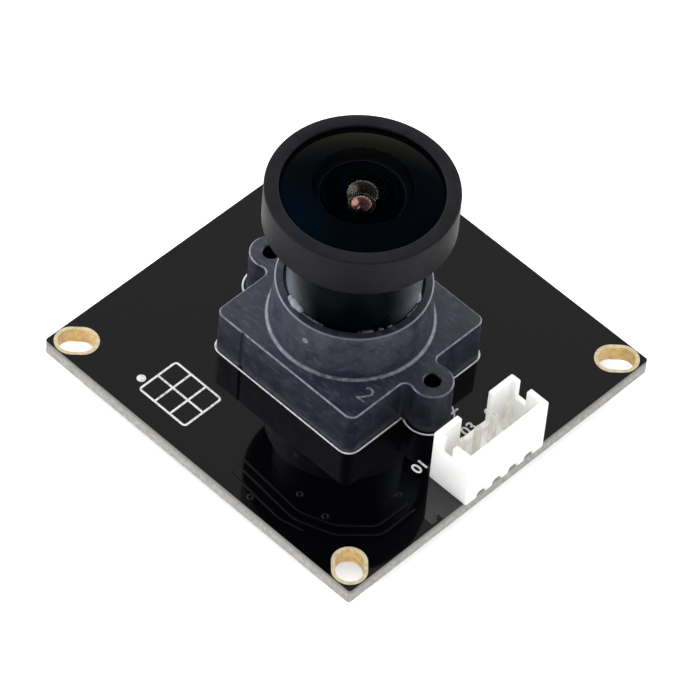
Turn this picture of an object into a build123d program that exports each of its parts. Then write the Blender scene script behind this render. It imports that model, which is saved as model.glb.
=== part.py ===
from build123d import *
import math
import os

# Sizes are in millimetres. X runs along the header's edge of the board, Y towards the opposite
# edge and Z up along the optical axis. Zero is on that axis, level with the tips of the pin tails.

# Circuit board
board_side = 38.0
board_thickness = 1.6
board_corner_r = 0.3
tail_drop = 1.5
land_thickness = 0.035

# Plated fixing slots, one in each corner, each pointing at the middle of the board
slot_edge_distance = 2.0
slot_length = 3.4
slot_width = 2.5
slot_ring_width = 0.35
plating_thickness = 0.05

# Lens holder
holder_shelf = 1.15
holder_corner_r = 0.9
holder_base_height = 4.8
holder_draft = 0.6
holder_wall = 1.2
holder_edge_bevel = 0.12
cavity_corner_r = 0.6
ear_offset = 1.5
ear_r = 2.0
ear_root_r = 0.6
ear_hole_r = 0.75
ear_hole_chamfer = 0.12
boss_wall = 0.98
boss_flare = 0.35
boss_height = 5.1
boss_root_bevel = 0.25
bore_chamfer = 0.25
thread_clearance = 0.02
gate_mark_y = 4.94
gate_mark_width = 0.6
gate_mark_depth = 0.15
light_window_r = 3.6

# Screws that hold the lens holder from behind
screw_clearance = 0.02
screw_grip = 3.4
screw_head_r = 1.4
screw_head_height = 0.85
screw_head_bevel = 0.25
screw_tip_chamfer = 0.3
screw_hole_r = 0.95
cross_length = 1.5
cross_width = 0.32
cross_depth = 0.45

# Heights along the optical axis, each one standing on the one before
cavity_height = 3.3
shoulder_thickness = 0.9
focus_gap = 0.5
barrel_end_recess = 0.9
retaining_ring_thickness = 1.2
rear_element_thickness = 1.8
rear_spacer_thickness = 1.2
third_element_thickness = 2.4
stop_thickness = 0.6
second_element_thickness = 1.8
front_spacer_thickness = 2.6
meniscus_thickness = 1.2
barrel_shoulder_thickness = 1.2
front_element_edge = 1.8
lip_thickness = 0.4

# Lens barrel and front ring
barrel_r = 6.0
barrel_wall = 1.4
barrel_shoulder_width = 0.7
barrel_head_flare = 1.8
barrel_end_chamfer = 0.3
ring_wall = 0.72
ring_height = 4.05
ring_edge_bevel = 0.18
lip_reach = 0.6
lip_edge_bevel = 0.08
lens_clearance = 0.02

# Glass elements: the flat rim outside each curved face, and how far the face rises or sinks
front_face_margin = 0.05
front_face_rise = 1.12
front_hollow_margin = 0.8
front_hollow_depth = 1.96
meniscus_rim = 1.2
meniscus_rise = 0.67
meniscus_hollow_rim = 1.9
meniscus_hollow_depth = 1.22
middle_rim = 2.2
middle_rise = 0.46
stop_side_rise = 0.12
rear_rim = 2.1
rear_upper_rise = 0.24
rear_lower_rise = 0.29
stop_opening_r = 1.65
stop_bevel = 0.3
spacer_wall = 1.3
retaining_wall = 1.4
spanner_slot_width = 0.8
spanner_slot_depth = 0.5

# Glue that locks the barrel's thread: each bead's start angle and the arc that it covers, in degrees
glue_bead_angles = [(-78, 74), (128, 66), (226, 40)]
glue_rise = 0.3

# Image sensor and the filter over it
filter_side = 8.6
filter_thickness = 0.3
filter_clearance = 0.05
package_side = 11.4
package_height = 1.4
package_cavity_side = 8.6
package_cavity_depth = 0.75
package_edge_r = 0.3
die_length = 6.6
die_width = 5.4
die_thickness = 0.4
cover_glass_side = 10.4
cover_glass_thickness = 0.55

# Header
pin_count = 4
pin_pitch = 2.0
pin_side = 0.5
pin_tip_chamfer = 0.12
pin_height = 5.1
pin_hole_r = 0.45
header_end_margin = 1.95
header_overhang = 0.3
header_depth = 4.5
header_height = 6.0
header_wall = 0.6
header_floor = 1.5
header_corner_r = 0.2
header_front_to_pins = 2.8
back_gap_width = 3.9
back_gap_height = 2.0
side_slot_width = 1.24
side_slot_depth = 2.0
foot_arch_width = 1.1
foot_arch_height = 0.6
foot_arch_r = 0.3
foot_arch_depth = 1.0
solder_foot_r = 0.8
solder_top_r = 0.4
solder_height = 0.95

# Chips and small parts on the back of the board, placed by the x and y of their middles
controller_place = (-5.6, -1.4)
controller_side = 6.0
controller_height = 0.85
controller_mark_r = 0.35
controller_mark_inset = 1.0
controller_mark_depth = 0.08
controller_lands_per_side = 8
controller_land_pitch = 0.65
controller_land_width = 0.3
controller_land_reach = 0.35
controller_land_overlap = 0.3
memory_place = (7.4, -1.4)
memory_length = 3.0
memory_width = 4.4
memory_lead_count = 4
memory_lead_pitch = 0.65
regulator_places = [(4.9, 9.6), (-4.9, 9.6)]
regulator_length = 2.9
regulator_width = 1.6
regulator_lead_count = 3
regulator_lead_pitch = 0.95
chip_body_height = 0.9
chip_stand_off = 0.1
lead_width = 0.25
lead_thickness = 0.15
lead_reach = 0.95
lead_foot = 0.45
crystal_place = (-13.4, -1.4)
crystal_length = 3.2
crystal_width = 2.5
crystal_base_height = 0.4
crystal_lid_height = 0.35
crystal_lid_inset = 0.2
crystal_corner_r = 0.35
crystal_land_length = 1.1
crystal_land_width = 0.9
inductor_places = [(9.8, 9.6), (-9.8, 9.6)]
inductor_side = 3.0
inductor_height = 1.4
inductor_corner_r = 0.5
inductor_groove = 0.25
inductor_cap_height = 0.35
inductor_land_length = 1.0
choke_place = (-6.6, -12.6)
choke_length = 2.0
choke_width = 1.2
choke_height = 1.1
choke_coil_inset = 0.15

# Small two-ended parts: place and turn of each, in degrees
large_capacitor_size = (1.6, 0.8, 0.8)
large_capacitor_places = [(13.4, 9.6, 90), (-13.4, 9.6, 90), (4.6, 13.2, 0), (-4.6, 13.2, 0)]
small_capacitor_size = (1.0, 0.5, 0.5)
small_capacitor_places = [
    (-10.6, 1.4, 90), (-10.6, -0.4, 90), (-10.6, -2.4, 90), (-10.6, -4.2, 90),
    (-7.6, 3.7, 0), (-5.6, 3.7, 0), (-3.6, 3.7, 0), (-7.6, -6.5, 0),
    (0.4, 1.0, 90), (0.4, -0.8, 90), (2.6, -4.9, 0), (12.0, 1.4, 90),
]
small_resistor_size = (1.0, 0.5, 0.35)
small_resistor_places = [
    (-5.6, -6.5, 0), (-3.6, -6.5, 0), (-13.4, 1.6, 0), (-13.4, -4.4, 0),
    (0.4, -2.8, 90), (12.0, -1.4, 90), (13.4, -1.4, 90), (13.4, -4.2, 90),
    (-9.2, -12.2, 90), (-9.2, -14.0, 90),
]
end_cap_length = 0.25
large_end_cap_length = 0.4
land_margin = 0.12

# Levels and fits worked out from the sizes above
edge_match = 0.001
slot_spacing = board_side - 2 * slot_edge_distance
board_bottom = tail_drop
board_top = board_bottom + board_thickness
shoulder_low = board_top + cavity_height
shoulder_top = shoulder_low + shoulder_thickness
barrel_low = shoulder_top + focus_gap
retaining_low = barrel_low + barrel_end_recess
rear_low = retaining_low + retaining_ring_thickness
rear_spacer_low = rear_low + rear_element_thickness
third_low = rear_spacer_low + rear_spacer_thickness
stop_low = third_low + third_element_thickness
second_low = stop_low + stop_thickness
front_spacer_low = second_low + second_element_thickness
meniscus_low = front_spacer_low + front_spacer_thickness
barrel_shoulder_low = meniscus_low + meniscus_thickness
front_element_low = barrel_shoulder_low + barrel_shoulder_thickness
lip_low = front_element_low + front_element_edge
ring_top = lip_low + lip_thickness
ring_low = ring_top - ring_height
holder_bore_r = barrel_r + thread_clearance
boss_low = board_top + holder_base_height
boss_top = boss_low + boss_height
boss_top_r = holder_bore_r + boss_wall
boss_foot_r = boss_top_r + boss_flare
holder_side = 2 * (boss_foot_r + holder_shelf)
ear_spacing = holder_side + 2 * ear_offset
barrel_bore_r = barrel_r - barrel_wall
barrel_mouth_r = barrel_bore_r - barrel_shoulder_width
barrel_head_r = barrel_r + barrel_head_flare
ring_bore_r = barrel_head_r + lens_clearance
ring_r = ring_bore_r + ring_wall
lip_r = barrel_head_r - lip_reach
optic_r = barrel_bore_r - lens_clearance
header_length = (pin_count - 1) * pin_pitch + 2 * header_end_margin
header_front_y = -(board_side / 2 + header_overhang)
header_middle_y = header_front_y + header_depth / 2
pin_row_y = header_front_y + header_front_to_pins
pin_places = [(pin_pitch * (i - (pin_count - 1) / 2), pin_row_y) for i in range(pin_count)]
ear_places = [(0, -ear_spacing / 2), (0, ear_spacing / 2)]


def turned(outline):
    """A closed run of edges in the XZ plane, spun about the optical axis."""
    return revolve(make_face(outline), Axis.Z)


def circles(body, level, radius):
    """The round edges of a body about a vertical axis, at one level and of one radius."""
    round_edges = body.edges().filter_by(GeomType.CIRCLE)
    return round_edges.filter_by(
        lambda edge: abs(edge.center().Z - level) < edge_match and abs(edge.radius - radius) < edge_match
    )


def ring(outer_r, inner_r, low, high):
    """A plain ring about the optical axis."""
    return Pos(0, 0, low) * extrude(Circle(outer_r) - Circle(inner_r), high - low)


def slot_sketches(length, width):
    """A slot for each corner of the board, its length pointing at the middle."""
    half = slot_spacing / 2
    corners = [(1, 1), (-1, 1), (-1, -1), (1, -1)]
    return [
        Pos(x * half, y * half) * Rot(0, 0, math.degrees(math.atan2(y, x))) * SlotOverall(length, width)
        for x, y in corners
    ]


def circuit_board():
    """The board, drilled for its slots, the header's pins and the holder's screws."""
    outline = RectangleRounded(board_side, board_side, board_corner_r)
    for slot in slot_sketches(slot_length + 2 * plating_thickness, slot_width + 2 * plating_thickness):
        outline -= slot
    for x, y in pin_places:
        outline -= Pos(x, y) * Circle(pin_hole_r)
    for x, y in ear_places:
        outline -= Pos(x, y) * Circle(screw_hole_r)
    return Pos(0, 0, board_bottom) * extrude(outline, board_thickness)


def plated_slots():
    """Copper linings of the four slots, each with a flat ring on both faces of the board."""
    openings = slot_sketches(slot_length, slot_width)
    linings = slot_sketches(slot_length + 2 * plating_thickness, slot_width + 2 * plating_thickness)
    rings = slot_sketches(slot_length + 2 * slot_ring_width, slot_width + 2 * slot_ring_width)
    solids = []
    for opening, lining, land in zip(openings, linings, rings):
        wall = Pos(0, 0, board_bottom) * extrude(lining - opening, board_thickness)
        lower = Pos(0, 0, board_bottom - land_thickness) * extrude(land - opening, land_thickness)
        upper = Pos(0, 0, board_top) * extrude(land - opening, land_thickness)
        solids.append(wall + lower + upper)
    return solids


def holder_outline():
    """The holder's square foot with its two round ears and their hollow roots."""
    outline = RectangleRounded(holder_side, holder_side, holder_corner_r)
    for x, y in ear_places:
        outline += Pos(x, y) * Circle(ear_r)
    side_y = holder_side / 2
    roots = [v for v in outline.vertices() if abs(abs(v.Y) - side_y) < edge_match and abs(v.X) < ear_r]
    return fillet(roots, ear_root_r)


def holder_body():
    """The outside of the holder: drafted foot, ears and the tapered boss for the lens."""
    foot = Pos(0, 0, board_top) * extrude(holder_outline(), holder_base_height, taper=holder_draft)
    foot = chamfer(foot.faces().sort_by(Axis.Z)[-1].edges(), holder_edge_bevel)
    boss = Pos(0, 0, boss_low) * Cone(
        boss_foot_r, boss_top_r, boss_height, align=(Align.CENTER, Align.CENTER, Align.MIN)
    )
    body = foot + boss
    body = chamfer(circles(body, boss_low, boss_foot_r), boss_root_bevel)
    return chamfer(circles(body, boss_top, boss_top_r), holder_edge_bevel)


def lens_holder():
    """The holder, hollow over the sensor, with the filter's pocket and the lens bore above it."""
    body = holder_body()
    cavity_side = holder_side - 2 * holder_wall
    body -= Pos(0, 0, board_top) * extrude(
        RectangleRounded(cavity_side, cavity_side, cavity_corner_r), cavity_height
    )
    pocket_side = filter_side + 2 * filter_clearance
    body -= Pos(0, 0, shoulder_low) * extrude(Rectangle(pocket_side, pocket_side), filter_thickness)
    body -= Pos(0, 0, shoulder_low) * extrude(Circle(light_window_r), shoulder_thickness)
    body -= Pos(0, 0, shoulder_top) * extrude(Circle(holder_bore_r), boss_top - shoulder_top)
    body = chamfer(circles(body, boss_top, holder_bore_r), bore_chamfer)
    for x, y in ear_places:
        body -= Pos(x, y, board_top) * extrude(Circle(ear_hole_r), holder_base_height)
        body -= Pos(x, y, boss_low) * Cone(
            ear_hole_r, ear_hole_r + 2 * ear_hole_chamfer, 2 * ear_hole_chamfer
        )
    gate_r = (gate_mark_width ** 2 / 4 + gate_mark_depth ** 2) / (2 * gate_mark_depth)
    gate_x = -holder_side / 2 - gate_r + gate_mark_depth
    body -= Pos(gate_x, gate_mark_y, board_top) * extrude(Circle(gate_r), holder_base_height)
    return body


def holder_screws():
    """Two pan-head screws, put in through the board from behind, into the holder's ears."""
    shank_r = ear_hole_r - screw_clearance
    head = Pos(0, 0, board_bottom - screw_head_height) * extrude(Circle(screw_head_r), screw_head_height)
    head = chamfer(circles(head, board_bottom - screw_head_height, screw_head_r), screw_head_bevel)
    cross = Rectangle(cross_length, cross_width) + Rectangle(cross_width, cross_length)
    head -= Pos(0, 0, board_bottom - screw_head_height) * extrude(cross, cross_depth)
    shank = Pos(0, 0, board_bottom) * extrude(Circle(shank_r), board_thickness + screw_grip)
    tip = shank.edges().sort_by(Axis.Z)[-1]
    screw = head + chamfer(tip, screw_tip_chamfer)
    return [Pos(x, y) * screw for x, y in ear_places]


def thread_lock_glue():
    """Beads of hard glue in the groove between the holder's boss and the barrel."""
    section = make_face(
        Plane.XZ * Polyline(
            (barrel_r, boss_top - bore_chamfer),
            (holder_bore_r, boss_top - bore_chamfer),
            (holder_bore_r + bore_chamfer, boss_top),
            (barrel_r, boss_top + glue_rise),
            close=True,
        )
    )
    return [Rot(0, 0, start) * revolve(section, Axis.Z, arc) for start, arc in glue_bead_angles]


def lens_barrel():
    """The black barrel: threaded neck, wider head, and a straight bore with a shoulder on top."""
    return turned(
        Plane.XZ * Polyline(
            (barrel_bore_r, barrel_low),
            (barrel_r - barrel_end_chamfer, barrel_low),
            (barrel_r, barrel_low + barrel_end_chamfer),
            (barrel_r, ring_low),
            (barrel_head_r, ring_low),
            (barrel_head_r, front_element_low),
            (barrel_mouth_r, front_element_low),
            (barrel_mouth_r, barrel_shoulder_low),
            (barrel_bore_r, barrel_shoulder_low),
            close=True,
        )
    )


def front_ring():
    """The matt ring screwed over the barrel's head, its lip holding the front element down."""
    body = turned(
        Plane.XZ * Polyline(
            (ring_bore_r, ring_low),
            (ring_r, ring_low),
            (ring_r, ring_top),
            (lip_r, ring_top),
            (lip_r, lip_low),
            (ring_bore_r, lip_low),
            close=True,
        )
    )
    body = chamfer(circles(body, ring_top, ring_r), ring_edge_bevel)
    return chamfer(circles(body, ring_top, lip_r), lip_edge_bevel)


def glass_face(level, clear_r, rise):
    """Half a curved face, from its top on the axis to its rim; a negative rise bulges downwards."""
    face_r = (clear_r ** 2 + rise ** 2) / (2 * abs(rise))
    lean = math.asin(clear_r / face_r) / 2
    middle_r = face_r * math.sin(lean)
    middle = level + rise - math.copysign(face_r * (1 - math.cos(lean)), rise)
    return Plane.XZ * ThreePointArc((0, level + rise), (middle_r, middle), (clear_r, level))


def glass_element(edge_r, low, high, lower_face, upper_face):
    """A glass element with flat rims; each face is the radius that it fills and its rise."""
    lower = glass_face(low, *lower_face)
    upper = glass_face(high, *upper_face)
    rim = Plane.XZ * Polyline((lower_face[0], low), (edge_r, low), (edge_r, high), (upper_face[0], high))
    axis = Line(lower @ 0, upper @ 0)
    return turned(lower + rim + upper + axis)


def front_element():
    """The large front meniscus: domed outside, with a deep hollow behind."""
    return glass_element(
        barrel_head_r - lens_clearance, front_element_low, lip_low,
        (barrel_mouth_r - front_hollow_margin, front_hollow_depth),
        (lip_r - front_face_margin, front_face_rise),
    )


def meniscus_element():
    """The second element, a small meniscus against the barrel's shoulder."""
    return glass_element(
        optic_r, meniscus_low, barrel_shoulder_low,
        (optic_r - meniscus_hollow_rim, meniscus_hollow_depth), (optic_r - meniscus_rim, meniscus_rise),
    )


def front_lens_spacer():
    """The black ring that keeps the meniscus and the element behind it apart."""
    return ring(optic_r, optic_r - spacer_wall, front_spacer_low, meniscus_low)


def second_element():
    """The biconvex element in front of the stop."""
    return glass_element(
        optic_r, second_low, front_spacer_low,
        (stop_opening_r, -stop_side_rise), (optic_r - middle_rim, middle_rise),
    )


def aperture_stop():
    """The disc with the small round opening that sets the lens's speed."""
    body = ring(optic_r, stop_opening_r, stop_low, second_low)
    return chamfer(circles(body, second_low, stop_opening_r), stop_bevel)


def third_element():
    """The biconvex element behind the stop."""
    return glass_element(
        optic_r, third_low, stop_low,
        (optic_r - middle_rim, -middle_rise), (stop_opening_r, stop_side_rise),
    )


def rear_lens_spacer():
    """The black ring that keeps the last two elements apart."""
    return ring(optic_r, optic_r - spacer_wall, rear_spacer_low, third_low)


def rear_element():
    """The last element, convex towards the sensor."""
    return glass_element(
        optic_r, rear_low, rear_spacer_low,
        (optic_r - rear_rim, -rear_lower_rise), (optic_r - rear_rim, rear_upper_rise),
    )


def rear_retaining_ring():
    """The threaded ring that closes the barrel, with two slots for a spanner."""
    body = ring(optic_r, optic_r - retaining_wall, retaining_low, rear_low)
    slot = Rectangle(2 * barrel_bore_r, spanner_slot_width)
    return body - Pos(0, 0, retaining_low) * extrude(slot, spanner_slot_depth)


def square_plate(length, width, low, thickness):
    """A flat plate about the optical axis."""
    return Pos(0, 0, low) * extrude(Rectangle(length, width), thickness)


def infrared_filter():
    """The coated glass square in the pocket above the sensor."""
    return square_plate(filter_side, filter_side, shoulder_low, filter_thickness)


def sensor_package():
    """The sensor's ceramic carrier, open on top over the die."""
    body = Pos(0, 0, board_top) * extrude(
        RectangleRounded(package_side, package_side, package_edge_r), package_height
    )
    floor = board_top + package_height - package_cavity_depth
    return body - square_plate(package_cavity_side, package_cavity_side, floor, package_cavity_depth)


def sensor_die():
    """The silicon chip in its carrier."""
    floor = board_top + package_height - package_cavity_depth
    return square_plate(die_length, die_width, floor, die_thickness)


def sensor_cover_glass():
    """The glass that closes the sensor's carrier."""
    return square_plate(cover_glass_side, cover_glass_side, board_top + package_height, cover_glass_thickness)


def connector_housing():
    """The white header: a shroud with a low gap behind, a slot in each end and arches at its foot."""
    block = Pos(0, header_middle_y, board_top) * extrude(
        RectangleRounded(header_length, header_depth, header_corner_r), header_height
    )
    socket_length = header_length - 2 * header_wall
    socket_width = header_depth - 2 * header_wall
    floor = board_top + header_floor
    top = board_top + header_height
    block -= Pos(0, header_middle_y, floor) * extrude(Rectangle(socket_length, socket_width), header_height)
    back_y = header_front_y + header_depth
    block -= Pos(0, back_y, board_top + back_gap_height) * Box(
        back_gap_width, 2 * header_wall, header_height, align=(Align.CENTER, Align.CENTER, Align.MIN)
    )
    block -= Pos(0, pin_row_y, top) * Box(2 * header_length, side_slot_width, 2 * side_slot_depth)
    arch = Rectangle(foot_arch_width, foot_arch_height, align=(Align.CENTER, Align.MIN))
    shoulders = arch.vertices().group_by(Axis.Y)[-1]
    arch = fillet(shoulders, foot_arch_r)
    pins = []
    for x, y in pin_places:
        block -= Pos(x, header_front_y, board_top) * extrude(Plane.XZ * arch, -foot_arch_depth)
        pins.append(Pos(x, y, board_top) * extrude(Rectangle(pin_side, pin_side), header_floor))
    return block - pins


def connector_pins():
    """Square pins, bevelled at both tips, from the tails under the board to the open socket."""
    length = board_top + pin_height
    pin = extrude(Rectangle(pin_side, pin_side), length)
    tips = pin.edges().filter_by(Plane.XY)
    pin = chamfer(tips, pin_tip_chamfer)
    return [Pos(x, y) * pin for x, y in pin_places]


def solder_joints():
    """Solder round each tail: a cone under the board and the filled hole above it."""
    fill = Pos(0, 0, board_bottom) * extrude(Circle(pin_hole_r), board_thickness)
    cone = turned(
        Plane.XZ * Polyline(
            (0, board_bottom),
            (solder_foot_r, board_bottom),
            (solder_top_r, board_bottom - solder_height),
            (0, board_bottom - solder_height),
            close=True,
        )
    )
    joint = fill + cone
    joint -= extrude(Rectangle(pin_side, pin_side), board_top)
    return [Pos(x, y) * joint for x, y in pin_places]


def on_back(x, y, turn=0):
    """A place on the back of the board, where up in the part's own frame points away from it."""
    return Pos(x, y, board_bottom) * Rot(180, 0, 0) * Rot(0, 0, turn)


def block(length, width, low, height, x=0, y=0):
    """A rectangular block standing at the level low in its part's own frame."""
    return Pos(x, y, low) * extrude(Rectangle(length, width), height)


def controller_lands():
    """The contacts along the four sides of the controller, which show as a fringe round it."""
    half = controller_side / 2
    length = controller_land_reach + controller_land_overlap
    middle = half + (controller_land_reach - controller_land_overlap) / 2
    lands = []
    for side in range(4):
        for i in range(controller_lands_per_side):
            along = controller_land_pitch * (i - (controller_lands_per_side - 1) / 2)
            land = block(controller_land_width, length, 0, land_thickness, along, middle)
            lands.append(on_back(*controller_place) * Rot(0, 0, 90 * side) * land)
    return lands


def controller_chip():
    """The flat leadless chip that reads the sensor, with a dimple at its first contact."""
    body = block(controller_side, controller_side, land_thickness, controller_height)
    top = land_thickness + controller_height
    corner = controller_side / 2 - controller_mark_inset
    body -= Pos(-corner, corner, top) * Cylinder(controller_mark_r, 2 * controller_mark_depth)
    return on_back(*controller_place) * body


def moulded_body(length, width):
    """The black moulding of a leaded chip, standing a little clear of the board."""
    low = land_thickness + chip_stand_off
    body = block(length, width, low, chip_body_height)
    return chamfer(body.edges().group_by(Axis.Z)[-1], chip_stand_off)


def chip_leads(width, count, pitch):
    """Bent leads along both long sides of a leaded chip, their feet on the lands."""
    out = lead_reach - lead_foot
    shoulder = land_thickness + chip_stand_off + chip_body_height / 2
    low = land_thickness
    half = lead_thickness / 2
    outline = Plane.YZ * Polyline(
        (width / 2, shoulder + half),
        (width / 2 + out, shoulder + half),
        (width / 2 + out, low + lead_thickness),
        (width / 2 + lead_reach, low + lead_thickness),
        (width / 2 + lead_reach, low),
        (width / 2 + out - lead_thickness, low),
        (width / 2 + out - lead_thickness, shoulder - half),
        (width / 2, shoulder - half),
        close=True,
    )
    lead = extrude(make_face(outline), lead_width / 2, both=True)
    places = [pitch * (i - (count - 1) / 2) for i in range(count)]
    return [Rot(0, 0, turn) * Pos(x, 0) * lead for x in places for turn in (0, 180)]


def lead_lands(width, count, pitch):
    """The lands under the feet of a leaded chip."""
    middle = width / 2 + lead_reach - lead_foot / 2
    land = block(lead_width + land_margin, lead_foot + 2 * land_margin, 0, land_thickness, 0, middle)
    places = [pitch * (i - (count - 1) / 2) for i in range(count)]
    return [Rot(0, 0, turn) * Pos(x, 0) * land for x in places for turn in (0, 180)]


def memory_chip():
    """The small leaded chip that stores the camera's settings."""
    return on_back(*memory_place, 90) * moulded_body(memory_length, memory_width)


def voltage_regulators():
    """The two small leaded chips that feed the sensor."""
    return [on_back(*place) * moulded_body(regulator_length, regulator_width) for place in regulator_places]


def leads_of_chips():
    """Tinned leads of the memory chip and the voltage regulators."""
    leads = [
        on_back(*memory_place, 90) * lead
        for lead in chip_leads(memory_width, memory_lead_count, memory_lead_pitch)
    ]
    for place in regulator_places:
        for lead in chip_leads(regulator_width, regulator_lead_count, regulator_lead_pitch):
            leads.append(on_back(*place) * lead)
    return leads


def clock_crystal():
    """The crystal's ceramic base with its metal lid."""
    base = Pos(0, 0, land_thickness) * extrude(
        RectangleRounded(crystal_length, crystal_width, crystal_corner_r), crystal_base_height
    )
    lid = Pos(0, 0, land_thickness + crystal_base_height) * extrude(
        RectangleRounded(
            crystal_length - 2 * crystal_lid_inset, crystal_width - 2 * crystal_lid_inset, crystal_corner_r
        ),
        crystal_lid_height,
    )
    return on_back(*crystal_place) * (base + lid)


def power_inductors():
    """Two wound inductors: a round-cornered ferrite drum with a groove round its middle."""
    outline = RectangleRounded(inductor_side, inductor_side, inductor_corner_r)
    waist_side = inductor_side - 2 * inductor_groove
    waist = RectangleRounded(waist_side, waist_side, inductor_corner_r)
    waist_height = inductor_height - 2 * inductor_cap_height
    lower = Pos(0, 0, land_thickness) * extrude(outline, inductor_cap_height)
    middle = Pos(0, 0, land_thickness + inductor_cap_height) * extrude(waist, waist_height)
    upper = Pos(0, 0, land_thickness + inductor_height - inductor_cap_height) * extrude(
        outline, inductor_cap_height
    )
    return [on_back(*place) * (lower + middle + upper) for place in inductor_places]


def common_mode_choke():
    """The small ferrite block in the data lines, wound round its narrower middle."""
    end = block(end_cap_length, choke_width, land_thickness, choke_height)
    reach = choke_length / 2 - end_cap_length / 2
    coil = block(
        choke_length - 2 * end_cap_length, choke_width - 2 * choke_coil_inset,
        land_thickness + choke_coil_inset, choke_height - 2 * choke_coil_inset,
    )
    return on_back(*choke_place) * (Pos(-reach, 0) * end + coil + Pos(reach, 0) * end)


def small_bodies(size, cap_length, places):
    """The ceramic middles of small two-ended parts."""
    length, width, height = size
    body = block(length - 2 * cap_length, width, land_thickness, height)
    return [on_back(x, y, turn) * body for x, y, turn in places]


def small_ends(size, cap_length, places):
    """The tinned ends of small two-ended parts."""
    length, width, height = size
    reach = (length - cap_length) / 2
    end = block(cap_length, width, land_thickness, height)
    return [on_back(x, y, turn) * Pos(side * reach, 0) * end for x, y, turn in places for side in (-1, 1)]


def small_lands(size, cap_length, places):
    """The lands under both ends of small two-ended parts."""
    length, width, _ = size
    reach = (length - cap_length) / 2
    land = block(cap_length + 2 * land_margin, width + 2 * land_margin, 0, land_thickness)
    return [on_back(x, y, turn) * Pos(side * reach, 0) * land for x, y, turn in places for side in (-1, 1)]


def capacitors():
    """Ceramic capacitors in two sizes."""
    large = small_bodies(large_capacitor_size, large_end_cap_length, large_capacitor_places)
    return large + small_bodies(small_capacitor_size, end_cap_length, small_capacitor_places)


def resistors():
    """Chip resistors."""
    return small_bodies(small_resistor_size, end_cap_length, small_resistor_places)


def component_ends():
    """The tinned ends of the capacitors and resistors."""
    ends = small_ends(large_capacitor_size, large_end_cap_length, large_capacitor_places)
    ends += small_ends(small_capacitor_size, end_cap_length, small_capacitor_places)
    return ends + small_ends(small_resistor_size, end_cap_length, small_resistor_places)


def component_lands():
    """All the flat lands on the back of the board."""
    lands = small_lands(large_capacitor_size, large_end_cap_length, large_capacitor_places)
    lands += small_lands(small_capacitor_size, end_cap_length, small_capacitor_places)
    lands += small_lands(small_resistor_size, end_cap_length, small_resistor_places)
    lands += controller_lands()
    for land in lead_lands(memory_width, memory_lead_count, memory_lead_pitch):
        lands.append(on_back(*memory_place, 90) * land)
    for place in regulator_places:
        for land in lead_lands(regulator_width, regulator_lead_count, regulator_lead_pitch):
            lands.append(on_back(*place) * land)
    for place in inductor_places:
        for side in (-1, 1):
            reach = (inductor_side - inductor_land_length) / 2 + land_margin
            width = inductor_side + 2 * land_margin
            land = block(inductor_land_length, width, 0, land_thickness, side * reach)
            lands.append(on_back(*place) * land)
    for side in (-1, 1):
        reach = (choke_length - end_cap_length) / 2
        land = block(
            end_cap_length + 2 * land_margin, choke_width + 2 * land_margin, 0, land_thickness, side * reach
        )
        lands.append(on_back(*choke_place) * land)
    for x in (-1, 1):
        for y in (-1, 1):
            land = block(
                crystal_land_length, crystal_land_width, 0, land_thickness,
                x * ((crystal_length - crystal_land_length) / 2 + land_margin),
                y * ((crystal_width - crystal_land_width) / 2 + land_margin),
            )
            lands.append(on_back(*crystal_place) * land)
    return lands


nodes = {
    "circuit_board": circuit_board,
    "plated_slots": plated_slots,
    "lens_holder": lens_holder,
    "holder_screws": holder_screws,
    "thread_lock_glue": thread_lock_glue,
    "lens_barrel": lens_barrel,
    "front_ring": front_ring,
    "front_element": front_element,
    "meniscus_element": meniscus_element,
    "front_lens_spacer": front_lens_spacer,
    "second_element": second_element,
    "aperture_stop": aperture_stop,
    "third_element": third_element,
    "rear_lens_spacer": rear_lens_spacer,
    "rear_element": rear_element,
    "rear_retaining_ring": rear_retaining_ring,
    "infrared_filter": infrared_filter,
    "sensor_package": sensor_package,
    "sensor_die": sensor_die,
    "sensor_cover_glass": sensor_cover_glass,
    "connector_housing": connector_housing,
    "connector_pins": connector_pins,
    "solder_joints": solder_joints,
    "controller_chip": controller_chip,
    "memory_chip": memory_chip,
    "voltage_regulators": voltage_regulators,
    "chip_leads": leads_of_chips,
    "clock_crystal": clock_crystal,
    "power_inductors": power_inductors,
    "common_mode_choke": common_mode_choke,
    "capacitors": capacitors,
    "resistors": resistors,
    "component_ends": component_ends,
    "component_lands": component_lands,
}

os.makedirs("parts", exist_ok=True)
for name, make in nodes.items():
    made = make()
    shape = Compound(children=made) if isinstance(made, list) else made
    export_step(shape, f"parts/{name}.step")
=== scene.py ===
import math

import bpy
from mathutils import Matrix, Vector


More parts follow.
